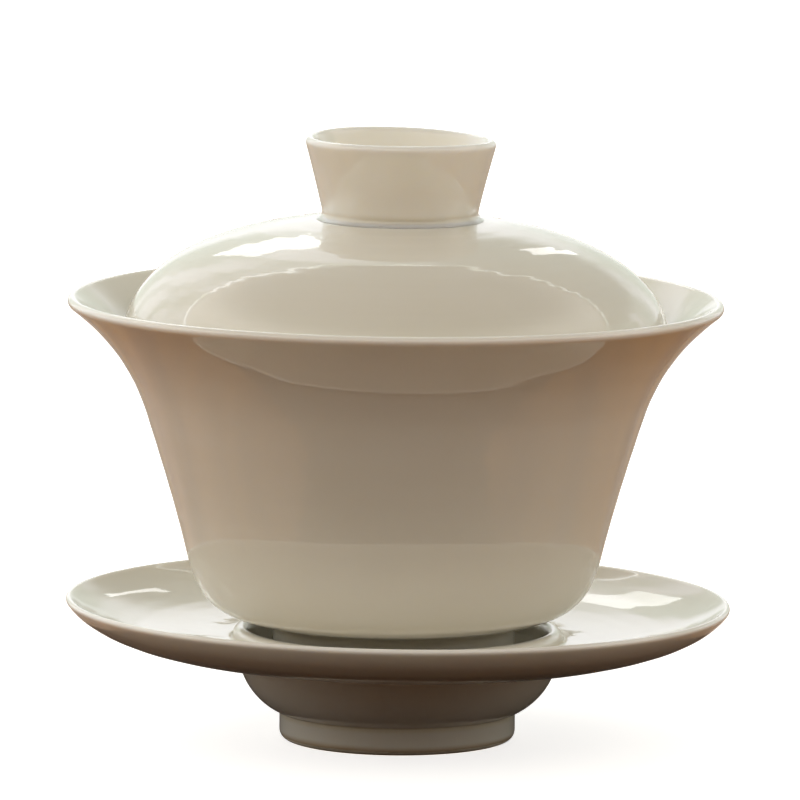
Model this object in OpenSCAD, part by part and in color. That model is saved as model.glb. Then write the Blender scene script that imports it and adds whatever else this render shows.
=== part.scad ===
// Gaiwan: a footed saucer, a flared tea bowl and a domed lid with a ring knob.
// Every piece is a solid of revolution about Z, drawn as a half outline of [radius, height] points.
// The origin is on the axis, at the level of the surface that the saucer stands on.

/* [Bowl] */
// Diameter over the lip
bowl_rim_d = 96; // [80:0.5:116]
// Height from the foot to the top of the lip
bowl_h = 58.8; // [49:0.2:71]
// Diameter where the flare begins
bowl_waist_d = 72.8; // [66:0.2:80]
// Height of the flare, measured down from the lip
bowl_flare_h = 17.2; // [12:0.2:20]
// Slope of the flare at the lip, in degrees
bowl_flare_angle = 38; // [28:1:50]
// Slope of the wall where the flare begins, in degrees
bowl_waist_angle = 72; // [62:1:82]
// Diameter where the belly turns into the wall
bowl_belly_d = 60.8; // [50:0.2:68]
// Height where the belly turns into the wall
bowl_belly_h = 20.6; // [17:0.2:25]
// Slope of the wall above the belly, in degrees
bowl_belly_angle = 77; // [68:1:86]
// Slope of the belly where it leaves the foot, in degrees
bowl_under_angle = 8; // [4:1:16]
// Thickness of the wall
bowl_wall = 2.4; // [1.8:0.1:3.2]
// Thickness of the rounded lip
bowl_lip = 1.5; // [1:0.1:1.8]
// Thickness of the floor inside the foot ring
bowl_floor = 3; // [2:0.1:4]

/* [Bowl foot] */
// Diameter of the foot ring
bowl_foot_d = 35.6; // [30:0.2:42]
// Height from the foot to the underside of the belly
bowl_foot_h = 11; // [9:0.2:13.4]
// Width of the foot ring's wall
bowl_foot_wall = 2.6; // [2:0.1:3.4]
// Radius of the fillet between the foot ring and the belly
bowl_foot_fillet = 1.4; // [0.8:0.1:2]
// Radius of the foot ring's rounded edges
bowl_foot_round = 0.7; // [0.4:0.1:0.9]

/* [Saucer] */
// Diameter over the rim
saucer_d = 97.6; // [82:0.2:118]
// Height from the flat of the plate to the top of the rim
saucer_rise = 5.9; // [4.4:0.1:8]
// Thickness of the plate
saucer_wall = 2.5; // [2:0.1:3.2]
// Thickness of the rounded rim
saucer_lip = 1; // [0.8:0.1:1.4]
// Slope of the rim's underside at its edge, in degrees
saucer_rim_angle = 54; // [44:1:64]
// Slope of the rim's top at its edge, in degrees
saucer_top_angle = 42; // [34:1:50]
// Height of the bead around the well
bead_h = 1.8; // [1.2:0.1:2.4]
// Width of the bead at its base
bead_w = 2.4; // [2:0.1:3.2]
// Radius of the fillets beside the bead and the bulge
saucer_fillet = 0.6; // [0.3:0.1:0.8]

/* [Saucer well] */
// Thickness of the floor that the bowl stands on
well_floor = 3; // [2.2:0.1:4]
// Growth in radius from the well's floor to its mouth
well_flare = 3.2; // [2.4:0.1:4.4]
// Thickness of the well's wall, seen outside as the bulge
well_wall = 1.5; // [1.2:0.1:2.2]

/* [Saucer foot] */
// Diameter of the foot ring
saucer_foot_d = 34.7; // [30:0.1:38]
// Height of the foot ring outside
saucer_foot_h = 4.2; // [3.4:0.1:5]
// Depth of the hollow inside the foot ring
saucer_foot_hollow = 3.6; // [2.6:0.1:4.2]
// Width of the foot ring's wall
saucer_foot_wall = 3; // [2.4:0.1:3.6]
// Radius of the foot ring's rounded outer edge
saucer_foot_round = 1.4; // [0.8:0.1:1.6]
// Radius of the edges inside the foot ring
saucer_foot_edge = 0.5; // [0.3:0.1:0.6]

/* [Lid] */
// How far the lid's edge lies below the bowl's lip
lid_seat_depth = 6.6; // [5.4:0.1:9]
// Height of the dome, from its edge to the flat seat of the knob
dome_h = 18.1; // [14:0.2:22]
// Slope of the dome's side above its edge, in degrees
dome_side_angle = 94; // [90:1:106]
// Slope of the dome where it meets the knob, in degrees
dome_top_angle = 174; // [168:1:178]
// Thickness of the dome
dome_wall = 2.4; // [1.8:0.1:3]

/* [Knob] */
// Diameter over the knob's lip
knob_d = 27.7; // [25:0.1:34]
// Diameter of the knob's waist, just above the dome
knob_waist_d = 22.8; // [19:0.1:24]
// Height of the knob above its seat
knob_h = 12.1; // [9:0.2:15]
// Thickness of the knob's wall at the waist
knob_wall = 2; // [1.4:0.1:2.6]
// Thickness of the knob's rounded lip
knob_lip = 1.5; // [1:0.1:1.8]
// Radius of the slip fillet around the knob's base
knob_fillet = 1.1; // [0.6:0.1:1.6]
// Radius of the slip fillet inside the knob
knob_bore_fillet = 0.8; // [0.4:0.1:1.2]

/* [Fits] */
// Gap around the bowl's foot in the well
foot_clear = 0.9; // [0.5:0.1:2]
// Gap between the bead and the underside of the belly
bead_clear = 1; // [0.6:0.1:2]
// Gap between the lid's edge and the inside of the flare
lid_clear = 0.35; // [0.2:0.05:0.8]

/* [Hidden] */
$fn = 180;
glaze = "#ebe6d6";
curve_steps = 22;
arc_step = 12;

// Levels, from the surface that the saucer stands on
well_z = saucer_foot_hollow + well_floor;
bead_z = well_z + bowl_foot_h - bead_clear;
plate_z = bead_z - bead_h;
rim_z = plate_z + saucer_rise;
lip_z = well_z + bowl_h;
lid_z = lip_z - lid_seat_depth;
knob_z = lid_z + dome_h;

// Unit vector at an angle from the radial direction
function heading(angle) = [cos(angle), sin(angle)];

// Points of an arc about c, from one angle to another
function arc(c, r, from, to) =
    let (steps = ceil(abs(to - from) / arc_step))
    [for (i = [0 : steps]) c + r * heading(from + (to - from) * i / steps)];

// Cubic curve that leaves a and reaches b along given headings; the pulls are shares of the chord
function curve(a, angle_a, pull_a, b, angle_b, pull_b) =
    let (chord = norm(b - a))
    let (p = a + pull_a * chord * heading(angle_a))
    let (q = b - pull_b * chord * heading(angle_b))
    [for (i = [0 : curve_steps]) let (t = i / curve_steps, s = 1 - t)
        s * s * s * a + 3 * s * s * t * p + 3 * s * t * t * q + t * t * t * b];

// A path moved to the left of its own direction, by a width given for each point
function offset_path(path, widths) =
    let (last = len(path) - 1)
    [for (i = [0 : last])
        let (along = path[min(i + 1, last)] - path[max(i - 1, 0)])
        path[i] + widths[i] * [-along.y, along.x] / norm(along)];

// A path without its first point, to follow on from one that ends there
function onward(path) = [for (i = [1 : len(path) - 1]) path[i]];

// The same path, walked the other way
function turned(path) = [for (i = [len(path) - 1 : -1 : 0]) path[i]];

// Outside of the bowl: belly, wall and flare, from the foot ring up to the lip
bowl_foot_r = bowl_foot_d / 2;
bowl_under = [bowl_foot_r + bowl_foot_fillet, well_z + bowl_foot_h];
bowl_belly = [bowl_belly_d / 2, well_z + bowl_belly_h];
bowl_waist = [bowl_waist_d / 2, lip_z - bowl_flare_h];
bowl_lip_c = [bowl_rim_d / 2 - bowl_lip / 2, lip_z - bowl_lip / 2];
bowl_lip_outer = bowl_lip_c + bowl_lip / 2 * heading(bowl_flare_angle - 90);
belly_curve = curve(bowl_under, bowl_under_angle, 0.4, bowl_belly, bowl_belly_angle, 0.53);
wall_curve = curve(bowl_belly, bowl_belly_angle, 0.3, bowl_waist, bowl_waist_angle, 0.32);
flare_curve = curve(bowl_waist, bowl_waist_angle, 0.37, bowl_lip_outer, bowl_flare_angle, 0.35);
bowl_outside = concat(belly_curve, onward(wall_curve), onward(flare_curve));

// Inside of the bowl: one wall thickness in, thinning to the lip along the flare
bowl_taper = [[bowl_waist.y, bowl_wall], [bowl_lip_outer.y, bowl_lip]];
bowl_inside = offset_path(bowl_outside, [for (p = bowl_outside) lookup(p.y, bowl_taper)]);

// Saucer: the well follows the bowl's foot ring
well_floor_r = bowl_foot_r + foot_clear;
well_mouth_r = well_floor_r + well_flare;
bulge_r = well_mouth_r + well_wall;
under_z = plate_z - saucer_wall;
saucer_rim_c = [saucer_d / 2 - saucer_lip / 2, rim_z - saucer_lip / 2];
saucer_rim_outer = saucer_rim_c + saucer_lip / 2 * heading(saucer_rim_angle - 90);
saucer_rim_inner = saucer_rim_c + saucer_lip / 2 * heading(saucer_top_angle + 90);

// Lid: its rounded edge is as wide as the inside of the flare allows at the seat
edge_r = dome_wall / 2;
edge_z = lid_z + edge_r;
edge_reach = edge_r + lid_clear;
edge_c = [min([for (p = bowl_inside)
    if (abs(p.y - edge_z) < edge_reach)
        p.x - sqrt(pow(edge_reach, 2) - pow(p.y - edge_z, 2))]), edge_z];
dome_side = edge_c + edge_r * heading(dome_side_angle - 90);

// Knob: its base covers the flat seat on top of the dome
knob_base_r = knob_waist_d / 2 + knob_fillet;
knob_bore_r = knob_waist_d / 2 - knob_wall;
knob_lip_c = [knob_d / 2 - knob_lip / 2, knob_z + knob_h - knob_lip / 2];
dome_curve = curve(dome_side, dome_side_angle, 0.27, [knob_base_r, knob_z], dome_top_angle, 0.52);

// Outline of the foot ring, from the hollow inside it to the top of its outer side
function saucer_foot() =
    let (outer_r = saucer_foot_d / 2, bore_r = outer_r - saucer_foot_wall, e = saucer_foot_edge)
    concat(
        arc([bore_r - e, saucer_foot_hollow - e], e, 90, 0),
        arc([bore_r + e, e], e, 180, 270),
        arc([outer_r - saucer_foot_round, saucer_foot_round], saucer_foot_round, 270, 360),
        [[outer_r, saucer_foot_h]]
    );

// Outline of the underside, from the foot ring over the bulge to the rim
function saucer_underside() =
    let (bulge_top = [bulge_r, under_z - saucer_fillet])
    let (plate_start = [bulge_r + saucer_fillet, under_z])
    concat(
        curve([saucer_foot_d / 2, saucer_foot_h], 10, 0.13, bulge_top, 82, 0.5),
        arc([plate_start.x, bulge_top.y], saucer_fillet, 180, 90),
        curve(plate_start, 3, 0.42, saucer_rim_outer, saucer_rim_angle, 0.25)
    );

// Outline of the top, from the rim over the plate and the bead down into the well
function saucer_top() =
    let (bead_r = well_mouth_r + bead_w)
    let (bead_top = [well_mouth_r + bead_w * 0.45, bead_z])
    let (plate_end = [bead_r + saucer_fillet, plate_z])
    concat(
        turned(curve(plate_end, 1, 0.41, saucer_rim_inner, saucer_top_angle, 0.25)),
        arc([plate_end.x, plate_z + saucer_fillet], saucer_fillet, 270, 180),
        curve([bead_r, plate_z + saucer_fillet], 95, 0.4, bead_top, 180, 0.4),
        curve(bead_top, 180, 0.35, [well_mouth_r, plate_z], 265, 0.4),
        turned(curve([well_floor_r, well_z], 0, 0.25, [well_mouth_r, plate_z - 1], 80, 0.55))
    );

module saucer() {
    color(glaze) rotate_extrude() polygon(concat(
        [[0, saucer_foot_hollow]],
        saucer_foot(),
        saucer_underside(),
        arc(saucer_rim_c, saucer_lip / 2, saucer_rim_angle - 90, saucer_top_angle + 90),
        saucer_top(),
        [[0, well_z]]
    ));
}

// Outline of the bowl's foot ring, from the hollow inside it to the underside of the belly
function bowl_foot(hollow_z) =
    let (bore_r = bowl_foot_r - bowl_foot_wall, e = bowl_foot_round, f = bowl_foot_fillet)
    concat(
        arc([bore_r - e, hollow_z - e], e, 90, 0),
        arc([bore_r + e, well_z + e], e, 180, 270),
        arc([bowl_foot_r - e, well_z + e], e, 270, 360),
        arc([bowl_foot_r + f, bowl_under.y - f], f, 180, 90)
    );

module bowl() {
    floor_z = bowl_inside[0].y;
    color(glaze) rotate_extrude() polygon(concat(
        [[0, floor_z - bowl_floor]],
        bowl_foot(floor_z - bowl_floor),
        bowl_outside,
        arc(bowl_lip_c, bowl_lip / 2, bowl_flare_angle - 90, bowl_flare_angle + 90),
        turned(bowl_inside),
        [[0, floor_z]]
    ));
}

module lid() {
    dome_inside = offset_path(dome_curve, [for (p = dome_curve) dome_wall]);
    crown_z = dome_inside[len(dome_inside) - 1].y;
    color(glaze) rotate_extrude() polygon(concat(
        [[0, crown_z]],
        turned(dome_inside),
        arc(edge_c, edge_r, dome_side_angle + 90, dome_side_angle + 270),
        dome_curve,
        [[0, knob_z]]
    ));
}

module lid_knob() {
    waist = [knob_waist_d / 2, knob_z + knob_fillet];
    bore_foot = [knob_bore_r, knob_z + knob_bore_fillet];
    lip_from = -15;
    lip_to = 160;
    lip_outer = knob_lip_c + knob_lip / 2 * heading(lip_from);
    lip_inner = knob_lip_c + knob_lip / 2 * heading(lip_to);
    color(glaze) rotate_extrude() polygon(concat(
        arc([knob_base_r, waist.y], knob_fillet, 270, 180),
        curve(waist, 77, 0.35, lip_outer, lip_from + 90, 0.35),
        arc(knob_lip_c, knob_lip / 2, lip_from, lip_to),
        turned(curve(bore_foot, 86, 0.35, lip_inner, lip_to - 90, 0.35)),
        arc([knob_bore_r - knob_bore_fillet, bore_foot.y], knob_bore_fillet, 360, 270)
    ));
}

saucer();
bowl();
lid();
lid_knob();
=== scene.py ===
# %% [markdown]
# # A gaiwan in glazed porcelain
#
# A gaiwan is a lidded tea bowl in three loose pieces: a footed saucer, a flared bowl and a domed lid whose
# ring knob was thrown by itself and joined on with slip. All of it is turned on a wheel, so every surface
# here is one half outline carried round the axis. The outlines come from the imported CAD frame, and this
# script adds what a potter's hands and a kiln add: a slight lean, softened edges, glaze and a bare foot.

import math

import bpy
import numpy as np
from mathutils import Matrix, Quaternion, Vector


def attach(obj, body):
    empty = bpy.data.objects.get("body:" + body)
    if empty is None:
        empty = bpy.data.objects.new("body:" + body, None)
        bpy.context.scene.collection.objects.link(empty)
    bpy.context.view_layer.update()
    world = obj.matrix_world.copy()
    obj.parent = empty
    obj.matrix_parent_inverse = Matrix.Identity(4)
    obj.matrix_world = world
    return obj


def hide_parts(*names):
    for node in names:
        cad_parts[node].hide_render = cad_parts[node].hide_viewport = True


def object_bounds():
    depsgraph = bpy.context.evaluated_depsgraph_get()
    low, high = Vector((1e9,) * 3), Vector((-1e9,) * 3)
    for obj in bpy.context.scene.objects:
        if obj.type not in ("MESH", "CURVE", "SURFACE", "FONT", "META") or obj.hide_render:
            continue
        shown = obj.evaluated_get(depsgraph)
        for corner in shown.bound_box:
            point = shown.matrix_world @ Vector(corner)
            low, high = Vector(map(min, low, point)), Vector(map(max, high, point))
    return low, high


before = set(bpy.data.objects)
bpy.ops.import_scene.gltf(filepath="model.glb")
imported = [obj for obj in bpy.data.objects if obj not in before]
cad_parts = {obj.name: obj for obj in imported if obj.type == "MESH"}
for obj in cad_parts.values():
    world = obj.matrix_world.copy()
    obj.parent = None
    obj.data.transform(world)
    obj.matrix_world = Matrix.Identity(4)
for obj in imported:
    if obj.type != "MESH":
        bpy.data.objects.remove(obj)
cad_lo, cad_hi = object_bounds()
MM = 0.001
print("CAD box in mm:", [round(v / MM, 1) for v in (*cad_lo, *cad_hi)])

# %% [markdown]
# ## The camera
#
# A long lens far away keeps the ellipses of the rims flat and the bowl's sides nearly as they are; a short
# lens close by would open the mouth and swell the belly. The camera is made before anything else, so that
# every later step can be judged through it.

# %% Camera
CAMERA_AT = Vector((0.0, -1.4, 0.232))
CAMERA_AIM = Vector((0.0004, 0.0, 0.0502))
CAMERA_ROLL = math.radians(0.4)
LENS_MM = 433

lens = bpy.data.cameras.new("camera")
lens.lens = LENS_MM
lens.sensor_width = 36
camera = bpy.data.objects.new("camera", lens)
bpy.context.scene.collection.objects.link(camera)
camera.location = CAMERA_AT
camera.rotation_mode = "QUATERNION"
camera.rotation_quaternion = ((CAMERA_AIM - CAMERA_AT).to_track_quat("-Z", "Y")
                              @ Quaternion((0, 0, 1), CAMERA_ROLL))
bpy.context.scene.camera = camera
print("camera with a", LENS_MM, "mm lens,", round((CAMERA_AIM - CAMERA_AT).length, 3), "m away")

# %% [markdown]
# ## Reading a half outline from the frame
#
# A turned solid is fully described by the line where the half plane y = 0, x > 0 cuts it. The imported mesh
# has edges along that line, the seam of each turned face, so the outline is found by chaining them. It
# could be drawn again by hand, but then the two models could drift apart.

# %% Half outlines
SEAM_MM = 0.001  # how near the half plane a point must lie to count as on it


def seam_outline(node):
    """The [radius, height] points of a turned CAD node in mm, chained end to end.

    Edges with both ends on the half plane y = 0, x > 0 are kept; each point has two neighbours, apart
    from the two ends of an outline that closes on the axis, which then get a point with radius 0.
    """
    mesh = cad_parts[node].data
    points = np.empty(len(mesh.vertices) * 3, np.float32)
    mesh.vertices.foreach_get("co", points)
    points = points.reshape(-1, 3).astype(float) / MM
    edges = np.empty(len(mesh.edges) * 2, np.int32)
    mesh.edges.foreach_get("vertices", edges)
    edges = edges.reshape(-1, 2)
    on_seam = (np.abs(points[:, 1]) < SEAM_MM) & (points[:, 0] > SEAM_MM)
    edges = edges[on_seam[edges].all(axis=1)]
    flat = np.round(points[:, [0, 2]], 3)
    links = {}
    for a, b in flat[edges].tolist():
        a, b = tuple(a), tuple(b)
        if a != b:
            links.setdefault(a, set()).add(b)
            links.setdefault(b, set()).add(a)
    ends = sorted((p for p in links if len(links[p]) == 1), key=lambda p: p[1])
    start = ends[0] if ends else min(links, key=lambda p: (p[1], p[0]))
    chain = [start]
    left = {start}
    while True:
        onward = sorted((p for p in links[chain[-1]] if p not in left), key=lambda p: (-p[0], p[1]))
        if not onward:
            break
        chain.append(onward[0])
        left.add(onward[0])
    if ends:
        chain = [(0.0, chain[0][1]), *chain, (0.0, chain[-1][1])]
    else:
        chain.append(chain[0])
    return np.array(chain)


outlines = {node: seam_outline(node) for node in ("saucer", "bowl", "lid", "lid_knob")}
for node, line in outlines.items():
    print(node, "outline has", len(line), "points, widest at", round(line[:, 0].max(), 2), "mm")

# %% [markdown]
# ## Softening an outline
#
# Glaze melts over every edge and rounds it by a fraction of a millimetre. The same is done to the outline:
# it is sampled very finely, blurred along its length, and sampled again with rows packed where it bends.
# A Bevel modifier would round the edges too, but it keeps the CAD's rows, which are far apart on the flats,
# and the glaze needs to know how sharply the line bends at every row.

# %% Sampling and blurring
FINE_MM = 0.04


def even_steps(line, step):
    """Points every step mm along a line, found by interpolating both coordinates over its length."""
    run = np.concatenate([[0], np.cumsum(np.linalg.norm(np.diff(line, axis=0), axis=1))])
    at = np.linspace(0, run[-1], int(run[-1] / step))
    return np.stack([np.interp(at, run, line[:, k]) for k in range(2)], axis=1)


def blurred(values, width, closed):
    """A Gaussian average along the samples; width is its standard deviation in samples."""
    reach = int(4 * width)
    kernel = np.exp(-0.5 * (np.arange(-reach, reach + 1) / width) ** 2)
    kernel /= kernel.sum()
    if closed:
        padded = np.concatenate([values[-reach - 1:-1], values, values[1:reach + 1]])
    else:
        padded = np.concatenate([2 * values[0] - values[reach:0:-1], values,
                                 2 * values[-1] - values[-2:-reach - 2:-1]])
    return np.convolve(padded, kernel, mode="valid")


print("the bowl's outline takes", len(even_steps(outlines["bowl"], FINE_MM)), "steps of", FINE_MM, "mm")

# %% Soft outlines
BEND_MM = 0.4        # the bend is averaged over this length, so that a lip reads as one edge
TURNING_SHARE = 0.8  # how much turning counts beside length when rows are placed


def soft_outline(line, rows, soften_mm):
    """The outline rounded by soften_mm and cut into rows, its bend at each row, and whether it is a loop.

    Rows are spaced so that length / total length + 0.8 * turning / total turning grows evenly from row to
    row. The bend is the turning per mm, above zero on an outward edge and below zero in a hollow corner.
    """
    closed = bool(np.allclose(line[0], line[-1]))
    fine = even_steps(line, FINE_MM)
    soft = np.stack([blurred(fine[:, k], soften_mm / FINE_MM, closed) for k in range(2)], axis=1)
    soft[:, 0] = np.maximum(soft[:, 0], 0)
    if not closed:
        soft[[0, -1], 0] = 0
    run = np.gradient(soft, axis=0)
    length = np.linalg.norm(run, axis=1)
    heading = np.unwrap(np.arctan2(run[:, 1], run[:, 0]))
    bend = blurred(np.gradient(heading) / length, BEND_MM / FINE_MM, closed)
    turning = np.abs(np.gradient(heading))
    pace = np.cumsum(length / length.sum() + TURNING_SHARE * turning / turning.sum())
    at = np.interp(np.linspace(pace[0], pace[-1], rows), pace, np.arange(len(pace)))
    index = np.arange(len(pace))
    points = np.stack([np.interp(at, index, soft[:, k]) for k in range(2)], axis=1)
    return points, np.interp(at, index, bend), closed


trial, trial_bend = soft_outline(outlines["bowl"], 380, 0.16)[:2]
print("softened, the bowl's lip is", round(outlines["bowl"][:, 1].max() - trial[:, 1].max(), 3), "mm lower",
      "and bends by up to", round(trial_bend.max(), 2), "per mm")

# %% [markdown]
# ## Carrying an outline round the axis
#
# One grid of rows by columns holds the whole surface: a row is a point of the outline, a column an angle.
# A second function then moves the grid as the clay moved. Thrown porcelain is never quite true: it leans
# and turns slightly oval in the kiln, and it keeps faint rings from the fingers. A Screw modifier would
# turn the outline too, but numpy moves every row and column in one sum and needs no modifier afterwards.

# %% Smooth steps and slow waves
def smooth_step(value, low, high):
    """0 below low, 1 above high, and 3t^2 - 2t^3 in between."""
    t = np.clip((value - low) / (high - low), 0, 1)
    return t * t * (3 - 2 * t)


def slow_waves(angle, height, seed, turns=5, step_mm=16.0):
    """A seeded sum of cosines in angle and height, about 1 high: the unevenness that hands leave."""
    rng = np.random.default_rng(seed)
    total = np.zeros(np.broadcast(angle, height).shape)
    for k in range(1, turns + 1):
        phase, lean = rng.uniform(0, 2 * np.pi), rng.uniform(-1, 1)
        total += np.cos(k * angle + phase + lean * height * 2 * np.pi / step_mm) / k
    return total / 1.6


print("waves reach", round(np.abs(slow_waves(np.linspace(0, 2 * np.pi, 360), 0.0, 11)).max(), 2))

# %% Closing the poles
def with_poles(faces, columns):
    """Face lists when the first and last rows lie on the axis: each such row becomes its one vertex.

    A corner in row i and column j has index (i - 1) * columns + j + 1, so the first row is index 0 and
    the last row is the last index; the quads beside them become triangles.
    """
    last = (faces.shape[0] - 1) * columns + 1
    moved = np.clip(faces - (columns - 1), 0, last)
    return (moved[0][:, [0, 2, 3]].tolist() + moved[1:-1].reshape(-1, 4).tolist()
            + moved[-1][:, [0, 1, 2]].tolist())


print("beside a pole, the quad 0 1 4 3 becomes", with_poles(np.array([[[0, 1, 4, 3]], [[3, 4, 7, 6]]]), 3)[0])

# %% Turned surfaces
GLAZE_WAVER_MM = 0.12  # how far the end of the glaze wavers up and down
FAR_MM = 5             # heights over the end of the glaze are kept within this


def turned_piece(name, node, rows, columns, soften_mm, shape, bare_below):
    """A closed mesh whose vertex (i, j) is outline point i turned by angle j, then moved by shape.

    shape takes radius, angle and height grids in mm and returns x, y and z grids in mm. Each vertex keeps
    "bend", the bend of the outline, and "above_bare", its height in mm over the end of the glaze, which
    lies near the height bare_below and wavers a little. Faces under that line use the second material.
    """
    outline, bend, closed = soft_outline(outlines[node], rows, soften_mm)
    if closed:
        outline, bend = outline[:-1], bend[:-1]
    angle = np.linspace(0, 2 * np.pi, columns, endpoint=False)[None, :]
    angle, radius, height = np.broadcast_arrays(angle, outline[:, :1], outline[:, 1:])
    grid = np.stack(shape(radius, angle, height), axis=-1) * MM
    glaze_line = bare_below + GLAZE_WAVER_MM * slow_waves(angle, 0 * height, 71)
    above = np.clip(height - glaze_line, -FAR_MM, FAR_MM)

    count = len(outline)
    row = np.arange(count if closed else count - 1)[:, None]
    here = np.arange(columns)[None, :]
    beside = (here + 1) % columns
    up = (row + 1) % count
    faces = np.stack(np.broadcast_arrays(row * columns + here, row * columns + beside,
                                         up * columns + beside, up * columns + here), axis=-1)
    is_bare = (above[row[:, 0]] < 0) & (above[up[:, 0]] < 0)
    mesh = bpy.data.meshes.new(name)
    if closed:
        keep = slice(None)
        mesh.from_pydata(grid.reshape(-1, 3), [], faces.reshape(-1, 4).tolist())
    else:
        keep = slice(columns - 1, (count - 1) * columns + 1)
        mesh.from_pydata(grid.reshape(-1, 3)[keep], [], with_poles(faces, columns))
    mesh.update()
    mesh.polygons.foreach_set("material_index", is_bare.ravel().astype(np.int32))
    mesh.shade_smooth()
    for label, values in (("bend", np.repeat(bend, columns)), ("above_bare", above.ravel())):
        mark = mesh.attributes.new(label, "FLOAT", "POINT")
        mark.data.foreach_set("value", np.ascontiguousarray(values[keep], np.float32))
    piece = bpy.data.objects.new(name, mesh)
    bpy.context.scene.collection.objects.link(piece)
    print(name, "has", len(mesh.vertices), "vertices,", len(mesh.polygons), "faces,", is_bare.sum(), "bare")
    return piece

# %% [markdown]
# ## How the pieces lean
#
# The bowl dried a touch out of level, and the lid sits in its flare, so both follow one lean. The saucer
# leans by itself. Each lean fades to nothing at the foot, so that every piece still stands flat.

# %% Leans
RIM_R = outlines["bowl"][:, 0].max()
LIP_Z = outlines["bowl"][:, 1].max()
WELL_Z = outlines["bowl"][:, 1].min()
KNOB_Z = outlines["lid_knob"][:, 1].min()
TOP_Z = outlines["lid_knob"][:, 1].max()


def bowl_lean(radius, angle, height):
    """Rise in mm: a tilt that grows with radius and a saddle that grows with its square."""
    share = radius / RIM_R
    tilt = 0.25 * np.sin(angle) - 0.30 * np.cos(angle)
    saddle = -0.20 * np.cos(2 * angle)
    return smooth_step(height, WELL_Z + 10, LIP_Z - 16) * (share * tilt + share ** 2 * saddle)


def saucer_lean(radius, angle):
    """Rise in mm: one tilt, which begins outside the well, so that the bowl's foot stays on the flat."""
    return -0.0105 * radius * np.cos(angle) * smooth_step(radius, 19, 27)


def placed(radius, angle, height, shift):
    """Cylindrical to x, y, z, with the axis moved sideways by shift mm."""
    return radius * np.cos(angle) + shift, radius * np.sin(angle), height


ROUND = np.linspace(0, 2 * np.pi, 360)
print("the bowl's lip leans by", round(np.ptp(bowl_lean(RIM_R, ROUND, LIP_Z)), 2), "mm,",
      "the saucer's by", round(np.ptp(saucer_lean(outlines["saucer"][:, 0].max(), ROUND)), 2), "mm")

# %% Shape of the saucer
def saucer_shape(radius, angle, height):
    """A plate that leans and is oval by 0.12 %, with marks of the hand outside the bead.

    The height gains the lean, rings that are a sine of radius and angle, 3.1 mm apart and 0.012 mm high,
    and slow waves of 0.05 mm; the radius is stretched by a cosine of twice the angle.
    """
    rings = 0.012 * np.sin(2 * np.pi * radius / 3.1 + angle)
    oval = 1 + 0.0012 * np.cos(2 * angle - 0.7) * smooth_step(radius, 20, 48)
    uneven = 0.05 * slow_waves(angle, radius, 11)
    lifted = saucer_lean(radius, angle) + (rings + uneven) * smooth_step(radius, 26, 40)
    return placed(radius * oval, angle, height + lifted, 0.3)


lip = saucer_shape(48.0, ROUND, 0.0)[2]
print("the saucer's lip rises and falls by", round(np.ptp(lip), 2), "mm")

# %% Shapes of the bowl and the lid
def rim_oval(angle):
    """The bowl's mouth and the lid share one oval, 0.12 mm either way, as they were fired together."""
    return 0.12 * np.cos(2 * angle + 0.9)


def bowl_shape(radius, angle, height):
    """The wall widens and narrows with the oval, with slow waves of 0.04 mm and with rings.

    The rings are a sine of height and angle, 4.3 mm apart in a spiral and 0.014 mm deep. All three fade out
    towards the foot and the axis. The height gains the lean.
    """
    free = smooth_step(height, WELL_Z + 8, LIP_Z - 10) * smooth_step(radius, 0, 8)
    rings = 0.014 * np.sin(2 * np.pi * height / 4.3 + angle)
    uneven = 0.04 * slow_waves(angle, height, 23)
    wide = radius + (rings + rim_oval(angle) + uneven) * free
    return placed(wide, angle, height + bowl_lean(radius, angle, height), -0.3)


def lid_shape(radius, angle, height):
    """The dome follows the bowl's lean and oval, so that it still lies evenly in the flare.

    The height gains rings that are a sine of radius and angle, 3.7 mm apart and 0.010 mm high, and slow
    waves of 0.03 mm between the knob and the edge.
    """
    rings = 0.010 * np.sin(2 * np.pi * radius / 3.7 + angle)
    between = smooth_step(radius, 14, 24) * (1 - smooth_step(radius, 34, 38))
    uneven = 0.03 * slow_waves(angle, radius, 37) * between
    wide = radius + rim_oval(angle) * smooth_step(radius, 14, 38)
    return placed(wide, angle, height + bowl_lean(radius, angle, LIP_Z) + rings + uneven, -0.2)


print("bowl and lid are oval by", round(np.ptp(rim_oval(ROUND)), 2), "mm")

# %% Shape of the knob
def knob_shape(radius, angle, height):
    """A hand-joined ring: off centre, its lip tilted and wavy, its base following the dome.

    From base to lip, growing shares of a tilt of 0.16 mm and of waves twice round go into the height, and
    of cosines of two and three times the angle into the radius.
    """
    up = smooth_step(height, KNOB_Z + 1.5, TOP_Z)
    wave = 0.05 * slow_waves(angle, 0 * height, 5)
    lip = up * (-0.16 * np.cos(angle) + 0.12 * np.cos(2 * angle + 2.2) + wave)
    oval = up * (0.12 * np.cos(2 * angle + 0.5) + 0.05 * np.cos(3 * angle + 1.0))
    return placed(radius + oval, angle, height + bowl_lean(radius, angle, LIP_Z) + lip, 0.25)


print("the knob's lip rises and falls by", round(np.ptp(knob_shape(13.8, ROUND, TOP_Z)[2]), 2), "mm")

# %% [markdown]
# ## The four pieces
#
# Each mesh replaces its CAD node and rides on the same body, so the bowl and the lid still lift off. Only
# the rings that a piece was fired on are bare: the saucer's foot, the bowl's foot and the lid's edge. The
# knob is glazed all over, so its bare line lies below it.

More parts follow.
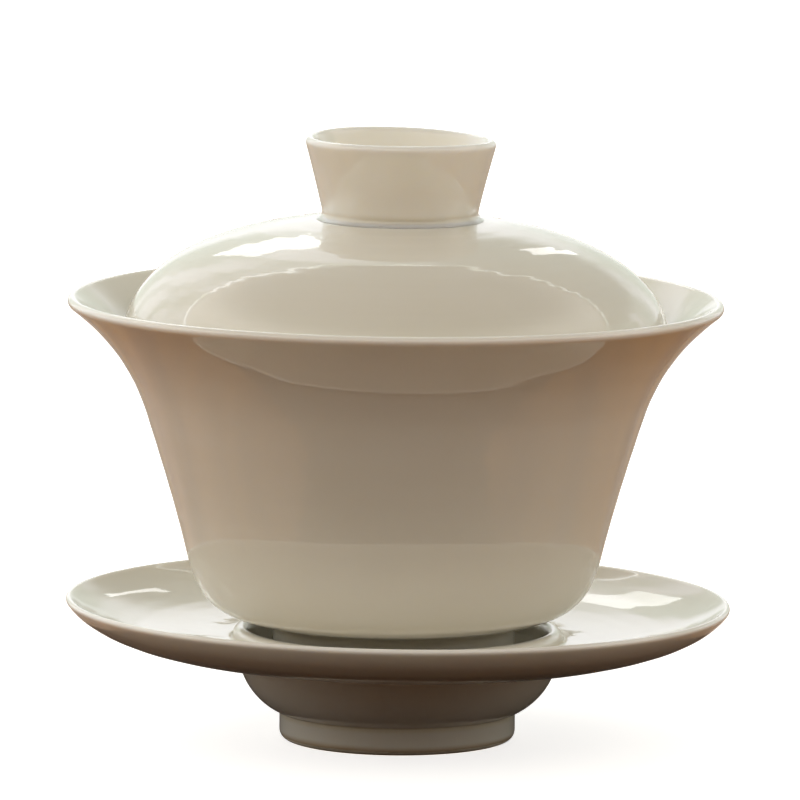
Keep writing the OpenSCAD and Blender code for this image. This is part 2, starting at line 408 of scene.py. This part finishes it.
# %% Make the pieces
EDGE_Z = outlines["lid"][:, 1].min()
pieces = {  # object name, CAD node, rows, columns, softening in mm, shape, height where the glaze ends in mm
    "saucer": turned_piece("porcelain_saucer", "saucer", 380, 256, 0.16, saucer_shape, 0.7),
    "bowl": turned_piece("porcelain_bowl", "bowl", 380, 256, 0.16, bowl_shape, WELL_Z + 0.8),
    "lid": turned_piece("porcelain_lid", "lid", 300, 256, 0.14, lid_shape, EDGE_Z + 0.45),
    "lid_knob": turned_piece("porcelain_knob", "lid_knob", 260, 224, 0.30, knob_shape, KNOB_Z - 6),
}

# %% Bodies, and the CAD parts hidden
BODY_OF = {"saucer": "saucer", "bowl": "bowl", "lid": "lid", "lid_knob": "lid"}
for node, piece in pieces.items():
    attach(piece, BODY_OF[node])
    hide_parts(node)

# %% [markdown]
# ## Materials
#
# A material is a small graph of nodes. One helper adds a node with its settings and links, and every
# pattern reads Object coordinates in metres, so its size is a real size.

# %% Helpers for materials
def linear(code):
    """An sRGB hex colour as linear red, green, blue and alpha."""
    srgb = [int(code[i:i + 2], 16) / 255 for i in (1, 3, 5)]
    return (*[c / 12.92 if c <= 0.04045 else ((c + 0.055) / 1.055) ** 2.4 for c in srgb], 1.0)


def add_node(tree, kind, settings=None, **inputs):
    """A node of one kind: settings are its properties, inputs are values or (node, output) to link from.

    An input is named with _ for a space, or by its number after i, such as i6.
    """
    node = tree.nodes.new(kind)
    for key, value in (settings or {}).items():
        setattr(node, key, value)
    for key, value in inputs.items():
        socket = node.inputs[int(key[1:]) if key[1:].isdigit() else key.replace("_", " ")]
        if isinstance(value, tuple) and isinstance(value[0], bpy.types.Node):
            tree.links.new(value[0].outputs[value[1]], socket)
        else:
            socket.default_value = value
    return node


def new_material(name):
    """An empty node material, and its node tree."""
    material = bpy.data.materials.new(name)
    material.use_nodes = True
    material.node_tree.nodes.clear()
    return material, material.node_tree


def per_mm(length_mm):
    """The Scale of a texture whose features are that long, for coordinates in metres."""
    return 1 / (length_mm * MM)


COLOURS = {"data_type": "RGBA"}  # makes a Mix node mix colours; i6 and i7 are then A and B, output 2 Result
print("a hex value of 80 is", round(linear("#808080")[0], 3), "of full light")

# %% [markdown]
# ### Glazed porcelain
#
# White kaolin under a clear feldspar glaze, fired with little oxygen, which leaves it a warm ivory. The eye
# reads it by three things: sharp mirror reflections that break a little on the orange-peel surface, light
# that sinks a millimetre into the body, and glaze that runs thin on lips and gathers in hollow corners.
# The glaze is the shader's coat; the body is the layer under it, with subsurface scattering. The knob's
# wall is the thinnest, so light sinks in the deepest there; its body colour is also painted paler, as
# painted light for the light that shines through that thin wall and up from the dome. The coat's IOR is
# raised from the 1.5 of a feldspar glaze to 1.8, because the mirror images in it are strong for so pale a
# body.

# %% Colours and depth of the porcelain
# the knob's body colour is painted paler than the others: painted light for the light through its thin wall
# and up from the dome
IVORY, KNOB_PAINTED_LIGHT_IVORY, CREAM = "#e9e6dc", "#faf9f5", "#e2ddcf"
THIN_GLAZE, POOLED_GLAZE = "#f6f3ec", "#e2dbc6"
TOASTED, IRON_SPECK = "#cbb798", "#5d4633"
GLAZE_IOR = 1.8
# the lighter body colour (on the knob painted paler, as painted light), how deep light sinks in mm, and how
# much of it does
BODIES = {"saucer": (IVORY, 0.9, 0.5), "bowl": (IVORY, 1.0, 0.5), "lid": (IVORY, 1.2, 0.5),
          "lid_knob": (KNOB_PAINTED_LIGHT_IVORY, 2.4, 0.8)}
print("light sinks in by", {node: sink_mm for node, (_, sink_mm, _) in BODIES.items()}, "mm")

# %% Glazed porcelain
def glazed_porcelain(name, ivory, shift_mm, sink_mm, sink_share):
    """Ivory and cream mottled over 24 mm, with specks, pits and ripples.

    Colour: the mottled body, paler where the outline bends outwards, darker where it bends inwards, toasted
    in the last 0.8 mm above the bare ring, and an iron speck in one of twenty cells of 8 mm.
    Bump: orange peel of 2.2 mm, runs of 5 mm drawn out downwards, swells of 13 mm, and a pit at each speck.
    ivory is the lighter of the two, shift_mm moves the pattern so that no two pieces match, sink_mm is how
    deep light sinks in, and sink_share how much of it does.
    """
    material, tree = new_material(name)
    place = add_node(tree, "ShaderNodeTexCoord")
    spot = add_node(tree, "ShaderNodeMapping", Vector=(place, "Object"),
                    Location=(shift_mm * MM, -shift_mm * MM, 0))
    mottle = add_node(tree, "ShaderNodeTexNoise", Vector=(spot, 0), Scale=per_mm(24), Detail=4.0)
    body = add_node(tree, "ShaderNodeMix", COLOURS, i0=(mottle, 0), i6=linear(ivory), i7=linear(CREAM))
    bend = add_node(tree, "ShaderNodeAttribute", {"attribute_name": "bend"})
    thin = add_node(tree, "ShaderNodeMapRange", Value=(bend, "Fac"), From_Min=0.25, From_Max=1.6)
    lips = add_node(tree, "ShaderNodeMix", COLOURS, i0=(thin, 0), i6=(body, 2), i7=linear(THIN_GLAZE))
    pool = add_node(tree, "ShaderNodeMapRange", Value=(bend, "Fac"), From_Min=-0.12, From_Max=-0.9)
    pooled = add_node(tree, "ShaderNodeMix", COLOURS, i0=(pool, 0), i6=(lips, 2), i7=linear(POOLED_GLAZE))
    bare = add_node(tree, "ShaderNodeAttribute", {"attribute_name": "above_bare"})
    halo = add_node(tree, "ShaderNodeMapRange", Value=(bare, "Fac"), From_Min=0.8, From_Max=0.0)
    edged = add_node(tree, "ShaderNodeMix", COLOURS, i0=(halo, 0), i6=(pooled, 2), i7=linear(TOASTED))
    cells = add_node(tree, "ShaderNodeTexVoronoi", Vector=(spot, 0), Scale=per_mm(8))
    pick = add_node(tree, "ShaderNodeSeparateColor", Color=(cells, "Color"))
    chosen = add_node(tree, "ShaderNodeMath", {"operation": "GREATER_THAN"}, i0=(pick, 0), i1=0.95)
    dot = add_node(tree, "ShaderNodeMapRange", Value=(cells, "Distance"), From_Min=0.026, From_Max=0.012)
    speck = add_node(tree, "ShaderNodeMath", {"operation": "MULTIPLY"}, i0=(chosen, 0), i1=(dot, 0))
    colour = add_node(tree, "ShaderNodeMix", COLOURS, i0=(speck, 0), i6=(edged, 2), i7=linear(IRON_SPECK))

    peel = add_node(tree, "ShaderNodeTexNoise", Vector=(spot, 0), Scale=per_mm(2.2), Detail=2.0)
    flow = add_node(tree, "ShaderNodeMapping", Vector=(spot, 0), Scale=(1, 1, 0.14))
    runs = add_node(tree, "ShaderNodeTexNoise", Vector=(flow, 0), Scale=per_mm(5), Detail=2.0)
    ripple = add_node(tree, "ShaderNodeBump", Strength=0.5, Distance=0.014 * MM, Height=(peel, 0))
    run_bump = add_node(tree, "ShaderNodeBump", Strength=0.5, Distance=0.05 * MM, Height=(runs, 0),
                        Normal=(ripple, 0))
    swell = add_node(tree, "ShaderNodeTexNoise", Vector=(spot, 0), Scale=per_mm(13), Detail=1.0)
    wavy = add_node(tree, "ShaderNodeBump", Strength=0.6, Distance=0.14 * MM, Height=(swell, 0),
                    Normal=(run_bump, 0))
    pits = add_node(tree, "ShaderNodeBump", {"invert": True}, Strength=0.8, Distance=0.08 * MM,
                    Height=(speck, 0), Normal=(wavy, 0))
    satin = add_node(tree, "ShaderNodeMapRange", Value=(mottle, 0), To_Min=0.30, To_Max=0.42)
    skin = add_node(tree, "ShaderNodeBsdfPrincipled", Base_Color=(colour, 2), Roughness=(satin, 0), IOR=1.5,
                    Specular_IOR_Level=0.1, Subsurface_Weight=sink_share, Subsurface_Radius=(1.0, 0.93, 0.8),
                    Subsurface_Scale=sink_mm * MM, Normal=(pits, 0), Coat_Weight=1.0, Coat_Roughness=0.03,
                    Coat_IOR=GLAZE_IOR, Coat_Normal=(pits, 0))
    add_node(tree, "ShaderNodeOutputMaterial", Surface=(skin, 0))
    return material


# %% [markdown]
# ### Biscuit porcelain
#
# Where a piece stood in the kiln the glaze was wiped off. The bare vitrified clay is matt and a little
# sandy to the touch, toasted where the glaze ends, with grains of kiln sand. A fine bump and a mottled
# colour are enough, because it is only a narrow ring.

# %% Biscuit porcelain
def biscuit_porcelain():
    """Matt clay, buff and tan over 3 mm, with a grain of 0.35 mm."""
    material, tree = new_material("unglazed biscuit porcelain")
    place = add_node(tree, "ShaderNodeTexCoord")
    patches = add_node(tree, "ShaderNodeTexNoise", Vector=(place, "Object"), Scale=per_mm(3), Detail=4.0)
    clay = add_node(tree, "ShaderNodeMix", COLOURS, i0=(patches, 0), i6=linear("#e8e0d0"),
                    i7=linear("#d8c8ae"))
    grain = add_node(tree, "ShaderNodeTexNoise", Vector=(place, "Object"), Scale=per_mm(0.35), Detail=3.0)
    sand = add_node(tree, "ShaderNodeBump", Strength=0.7, Distance=0.08 * MM, Height=(grain, 0))
    rough = add_node(tree, "ShaderNodeMapRange", Value=(grain, 0), To_Min=0.7, To_Max=0.9)
    skin = add_node(tree, "ShaderNodeBsdfPrincipled", Base_Color=(clay, 2), Roughness=(rough, 0),
                    Normal=(sand, 0))
    add_node(tree, "ShaderNodeOutputMaterial", Surface=(skin, 0))
    return material


# %% Glaze and biscuit on the pieces
biscuit = biscuit_porcelain()
for number, (node, piece) in enumerate(pieces.items()):
    ivory, sink_mm, sink_share = BODIES[node]
    glaze = glazed_porcelain("clear-glazed ivory porcelain, " + node, ivory, 31 * number, sink_mm, sink_share)
    piece.data.materials.append(glaze)
    piece.data.materials.append(biscuit)
print("materials:", sorted(m.name for m in bpy.data.materials if "porcelain" in m.name))

# %% [markdown]
# ## Floor and light
#
# Gloss is only what it mirrors, so the studio matters as much as the glaze. The floor is a light table, as
# is used to get an even pale ground: a white sheet that glows a little. A brown board lies on it, and on the
# board a dark brown strip under and in front of the object, which is painted shade standing in for the
# table's shade there. Both are hidden from the camera, and the porcelain mirrors them and is warmed by
# them, as by a tea table. All three are clear from behind, so that the foot can be looked at from below.

# %% Sheets on the ground
# the second lift is for the dark strip of painted shade under and in front of the object
BOARD_LIFT_MM, SHADE_STRIP_LIFT_MM = 0.05, 0.1
FOOT_HOLE_MM = 13.5  # inside the ring foot, so that the glow of the floor reaches the hollow under it


def flat_stage(name, x_m, y_m, lift_mm, material):
    """A rectangle from x_m to y_m that faces up, lift_mm over the ground, and isn't part of the object."""
    z_m = cad_lo[2] + lift_mm * MM
    corners = [(x_m[0], y_m[0], z_m), (x_m[1], y_m[0], z_m), (x_m[1], y_m[1], z_m), (x_m[0], y_m[1], z_m)]
    mesh = bpy.data.meshes.new(name)
    mesh.from_pydata(corners, [], [(0, 1, 2, 3)])
    surface = bpy.data.objects.new(name, mesh)
    bpy.context.scene.collection.objects.link(surface)
    surface.data.materials.append(material)
    print(name, "lies at", round(z_m / MM, 3), "mm")
    return surface


def seen_from_above(tree, paint, hole_mm=0.0):
    """Ends a material: the front shows the paint; light passes from behind, and through a round hole."""
    side = add_node(tree, "ShaderNodeNewGeometry")
    middle = add_node(tree, "ShaderNodeTexCoord")
    reach = add_node(tree, "ShaderNodeVectorMath", {"operation": "LENGTH"}, i0=(middle, "Object"))
    hole = add_node(tree, "ShaderNodeMath", {"operation": "LESS_THAN"}, i0=(reach, "Value"), i1=hole_mm * MM)
    open_here = add_node(tree, "ShaderNodeMath", {"operation": "MAXIMUM"}, i0=(side, "Backfacing"),
                         i1=(hole, 0))
    nothing = add_node(tree, "ShaderNodeBsdfTransparent")
    both = add_node(tree, "ShaderNodeMixShader", i0=(open_here, 0), i1=(paint, 0), i2=(nothing, 0))
    add_node(tree, "ShaderNodeOutputMaterial", Surface=(both, 0))


print("the hole is", 2 * FOOT_HOLE_MM, "mm across")

# %% Floor
TABLE_GLOW = 0.72


def light_table():
    """A matt white acrylic sheet with a soft glow, faintly cloudy over 300 mm."""
    material, tree = new_material("matt white acrylic sheet, lit from below")
    place = add_node(tree, "ShaderNodeTexCoord")
    cloud = add_node(tree, "ShaderNodeTexNoise", Vector=(place, "Object"), Scale=per_mm(300))
    shade = add_node(tree, "ShaderNodeMix", COLOURS, i0=(cloud, 0), i6=linear("#f4f3f1"),
                     i7=linear("#f1f0ee"))
    acrylic = add_node(tree, "ShaderNodeBsdfPrincipled", Base_Color=(shade, 2), Roughness=0.85,
                       Emission_Color=linear("#ffffff"), Emission_Strength=TABLE_GLOW)
    seen_from_above(tree, acrylic)
    material.cycles.emission_sampling = "NONE"  # the glow is for the eye, not a lamp aimed at the underside
    return material


flat_stage("floor", (-4, 4), (-4, 4), 0, light_table())

# %% Board
def varnished_wood():
    """Brown boards with soft bands 26 mm apart, stretched eight times along the grain."""
    material, tree = new_material("varnished walnut board")
    place = add_node(tree, "ShaderNodeTexCoord")
    along = add_node(tree, "ShaderNodeMapping", Vector=(place, "Object"), Scale=(0.12, 1.0, 1.0),
                     Rotation=(0, 0, math.radians(24)))
    grain = add_node(tree, "ShaderNodeTexNoise", Vector=(along, 0), Scale=per_mm(26), Detail=3.0,
                     Distortion=0.6)
    bands = add_node(tree, "ShaderNodeMapRange", Value=(grain, 0), From_Min=0.38, From_Max=0.62)
    wood = add_node(tree, "ShaderNodeMix", COLOURS, i0=(bands, 0), i6=linear("#7f4c1f"), i7=linear("#c4863c"))
    varnish = add_node(tree, "ShaderNodeBsdfPrincipled", Base_Color=(wood, 2), Roughness=0.25)
    seen_from_above(tree, varnish, FOOT_HOLE_MM)
    return material


board = flat_stage("board", (-2, 2), (-2, 2), BOARD_LIFT_MM, varnished_wood())

# %% Painted shade strip
def painted_shade_strip_material():
    """A dark brown strip of painted shade, with threads 1.2 mm apart, drawn coarse so that they show at all.
    """
    material, tree = new_material("dark brown strip of painted table shade")
    place = add_node(tree, "ShaderNodeTexCoord")
    threads = add_node(tree, "ShaderNodeTexNoise", Vector=(place, "Object"), Scale=per_mm(1.2))
    shade_strip_tone = add_node(tree, "ShaderNodeMix", COLOURS, i0=(threads, 0), i6=linear("#301c0a"),
                   i7=linear("#4e2f11"))
    shade_strip_bsdf = add_node(tree, "ShaderNodeBsdfPrincipled", Base_Color=(shade_strip_tone, 2), Roughness=0.9)
    seen_from_above(tree, shade_strip_bsdf, FOOT_HOLE_MM)
    return material


# a dark strip under and in front of the object: painted shade for the table's shade there
painted_shade_strip = flat_stage("painted_shade_strip", (-0.055, 0.055), (-0.7, 0.055), SHADE_STRIP_LIFT_MM, painted_shade_strip_material())
for sheet in (board, painted_shade_strip):
    sheet.visible_camera = False
    sheet.visible_shadow = False

# %% [markdown]
# ### Softboxes
#
# Two softboxes stand behind the object, left and right, and draw the bright patches on the dome and the
# saucer; they are only mirrored. A third hangs above and is never mirrored: it only makes the tops brighter
# than the front. Splitting the two jobs lets each be set without the other.

# %% Softboxes
MIDDLE = Vector((0, 0, 0.05))


def add_softbox(name, at, size, watts, colour):
    """A rectangular area light that faces the middle of the object."""
    light = bpy.data.lights.new(name, "AREA")
    light.shape = "RECTANGLE"
    light.size, light.size_y = size
    light.energy = watts
    light.color = linear(colour)[:3]
    lamp = bpy.data.objects.new(name, light)
    lamp.location = at
    lamp.rotation_mode = "QUATERNION"
    lamp.rotation_quaternion = (MIDDLE - Vector(at)).to_track_quat("-Z", "Y")
    bpy.context.scene.collection.objects.link(lamp)
    return lamp


for lamp in (add_softbox("softbox left", (-0.26, 1.39, 0.83), (0.28, 0.3), 0.42, "#ffffff"),
             add_softbox("softbox right", (0.30, 1.42, 0.70), (0.06, 0.3), 0.1, "#ffffff")):
    lamp.visible_diffuse = False
above = add_softbox("softbox above", (0.0, 0.0, 1.4), (1.6, 1.2), 0.6, "#fffdfa")
above.visible_glossy = False

# %% [markdown]
# ### The room
#
# The world is fixed to the studio, and a direction's x, y and z decide its colour. A wall of windows with
# some green outside stands behind the object, up to 52 degrees above it, with a blind half down on the
# right; the ceiling and the room in front are dimmer and warm. A bright rail along the top of the windows
# draws the thin arc on the dome, and everything below the arc mirrors the ceiling. Cards and lamps round
# the object would do as well, but they would stand in the way of other views, and the world never does.

# %% Ceiling and room in front
CEILING, ROOM, FURNITURE = "#7c766c", "#f2ede4", "#452c14"
WALL, LEAVES, BLIND = "#f2f3f3", "#c6ccc1", "#a2a398"
WALL_TOP = math.radians(52)

world = bpy.data.worlds.new("studio room")
world.use_nodes = True
tree = world.node_tree
tree.nodes.clear()
sight = add_node(tree, "ShaderNodeTexCoord")
parts = add_node(tree, "ShaderNodeSeparateXYZ", Vector=(sight, "Generated"))
low = add_node(tree, "ShaderNodeMapRange", {"interpolation_type": "SMOOTHSTEP"}, Value=(parts, "Z"),
               From_Min=0.5, From_Max=0.15)
near = add_node(tree, "ShaderNodeMapRange", {"interpolation_type": "SMOOTHSTEP"}, Value=(parts, "Y"),
                From_Min=-0.1, From_Max=-0.6)
dark = add_node(tree, "ShaderNodeMath", {"operation": "MULTIPLY"}, i0=(low, 0), i1=(near, 0))
front = add_node(tree, "ShaderNodeMix", COLOURS, i0=(dark, 0), i6=linear(ROOM), i7=linear(FURNITURE))
high = add_node(tree, "ShaderNodeMapRange", {"interpolation_type": "SMOOTHSTEP"}, Value=(parts, "Z"),
                From_Min=0.55, From_Max=0.85)
room = add_node(tree, "ShaderNodeMix", COLOURS, i0=(high, 0), i6=(front, 2), i7=linear(CEILING))
print("the room in front is made of", len(tree.nodes), "nodes")

# %% Wall of windows
tall = add_node(tree, "ShaderNodeMapping", Vector=(sight, "Generated"), Scale=(1, 1, 0.25))
panes = add_node(tree, "ShaderNodeTexNoise", Vector=(tall, 0), Scale=5.0, Detail=2.0)
gaps = add_node(tree, "ShaderNodeMapRange", Value=(panes, 0), From_Min=0.42, From_Max=0.58)
wall = add_node(tree, "ShaderNodeMix", COLOURS, i0=(gaps, 0), i6=linear(LEAVES), i7=linear(WALL))
above_wall = add_node(tree, "ShaderNodeVectorMath", {"operation": "DOT_PRODUCT"}, i0=(sight, "Generated"),
                      i1=(0.0, -math.sin(WALL_TOP), math.cos(WALL_TOP)))
past = add_node(tree, "ShaderNodeMapRange", Value=(above_wall, "Value"), From_Min=-0.01, From_Max=0.02)
right = add_node(tree, "ShaderNodeMapRange", {"interpolation_type": "SMOOTHSTEP"}, Value=(parts, "X"),
                 From_Min=0.0, From_Max=0.12)
upper = add_node(tree, "ShaderNodeMapRange", {"interpolation_type": "SMOOTHSTEP"}, Value=(parts, "Z"),
                 From_Min=0.28, From_Max=0.42)
drawn = add_node(tree, "ShaderNodeMath", {"operation": "MULTIPLY"}, i0=(right, 0), i1=(upper, 0))
screened = add_node(tree, "ShaderNodeMix", COLOURS, i0=(drawn, 0), i6=(wall, 2), i7=linear(BLIND))
print("the windows end", round(math.degrees(WALL_TOP)), "degrees up")

# %% Rail and brightness
lit = add_node(tree, "ShaderNodeMix", COLOURS, i0=(past, 0), i6=(screened, 2), i7=(room, 2))
rail = add_node(tree, "ShaderNodeMath", {"operation": "COMPARE"}, i0=(above_wall, "Value"), i1=-0.02, i2=0.01)
bright = add_node(tree, "ShaderNodeMix", {**COLOURS, "blend_type": "ADD"}, i0=(rail, 0), i6=(lit, 2),
                  i7=(wall, 2))
LEFT_GLOW, RIGHT_GLOW = 1.72, 1.36
sideways = add_node(tree, "ShaderNodeMapRange", Value=(parts, "X"), From_Min=-0.5, From_Max=0.5,
                    To_Min=LEFT_GLOW, To_Max=RIGHT_GLOW)
glow = add_node(tree, "ShaderNodeBackground", Color=(bright, 2), Strength=(sideways, 0))
add_node(tree, "ShaderNodeOutputWorld", Surface=(glow, 0))
bpy.context.scene.world = world
bpy.context.scene.view_settings.view_transform = "Standard"
print("the world is made of", len(tree.nodes), "nodes")
